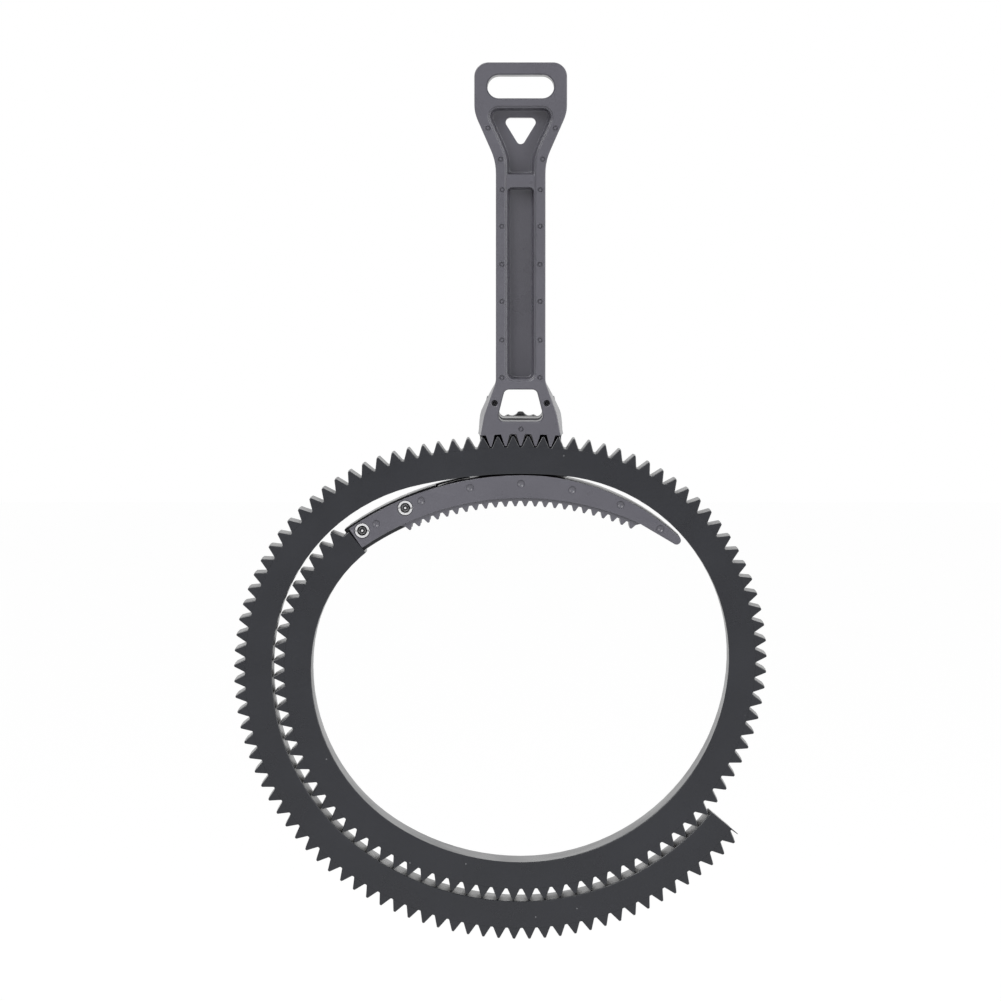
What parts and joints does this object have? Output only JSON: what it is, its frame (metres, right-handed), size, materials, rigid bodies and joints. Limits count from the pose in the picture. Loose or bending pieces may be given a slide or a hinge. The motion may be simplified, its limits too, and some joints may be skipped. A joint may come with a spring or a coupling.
{
  "type": "follow focus ring",
  "caption": "Flexible toothed focus belt wound round a lens barrel over a curved grip saddle, with a rear-clamped lever whose toothed foot locks the belt.",
  "frame": {"origin": "on the lens axis, at the centre of the loop's true round stretch, half way across the belt's width", "axes": "+Z along the lever away from the lens, +X to the right seen from the front, +Y along the lens axis towards the clamp knob"},
  "size_m": [0.0913, 0.022, 0.1502],
  "materials": {
    "belt": "matte charcoal moulded elastomer with fine dust specks and a mid-width parting line",
    "grey_plastic": "satin grey moulded plastic with a fine grain and round ejector marks",
    "screw_steel": "bright zinc-plated steel",
    "pin_steel": "dark oxide steel",
    "knob_plastic": "black moulded plastic with flutes"
  },
  "bodies": {
    "ring": {"gear_belt": "belt", "lens_saddle": "grey_plastic", "tab_screw_lower": "screw_steel", "tab_screw_upper": "screw_steel", "tab_nut_lower": "screw_steel", "tab_nut_upper": "screw_steel"},
    "lever": {"lever_handle": "grey_plastic", "guide_pin_left": "pin_steel", "guide_pin_right": "pin_steel", "clamp_nut": "screw_steel"},
    "washer": {"clamp_washer": "screw_steel"},
    "knob": {"clamp_knob": "knob_plastic", "clamp_stud": "screw_steel"}
  },
  "joints": [
    {"name": "lever_lift", "type": "slide", "parent": "ring", "child": "lever", "axis": [0, 0, 1], "range_m": [0, 0.0022]},
    {"name": "clamp_advance", "type": "slide", "parent": "lever", "child": "washer", "axis": [0, 1, 0], "range_m": [0, 0.00045]},
    {"name": "clamp_turn", "type": "hinge", "parent": "washer", "child": "knob", "pos_m": [0, 0.011, 0.03588], "axis": [0, 1, 0], "range_deg": [0, 360]}
  ],
  "couplings": [
    {"joint": "clamp_turn", "follows": "clamp_advance", "rad_per_m": 13963}
  ]
}
